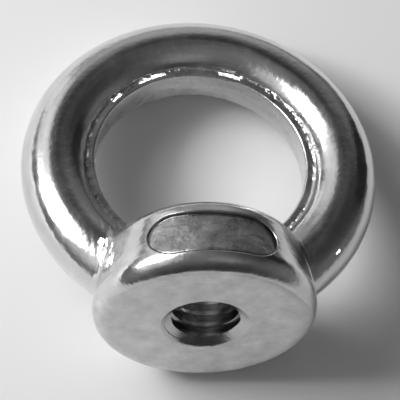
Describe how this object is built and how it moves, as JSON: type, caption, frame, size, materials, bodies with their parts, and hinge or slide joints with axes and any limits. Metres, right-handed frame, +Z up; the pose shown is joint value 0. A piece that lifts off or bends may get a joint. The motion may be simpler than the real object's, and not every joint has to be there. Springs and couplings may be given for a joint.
{
  "type": "lifting eye nut",
  "caption": "Polished steel lifting eye nut: a round ring on a short tapered round boss, threaded right through from its flat base into the eye.",
  "frame": {"origin": "centre of the flat base face, on the thread axis", "axes": "+Z up the thread axis from the base towards the eye, +X across the ring in its own plane, -Y towards the side with the oval recess"},
  "size_m": [0.036, 0.022, 0.036],
  "materials": {
    "steel": "polished stainless steel, with a satin turned base face"
  },
  "bodies": {
    "root": {"eye_nut": "steel"}
  },
  "joints": []
}
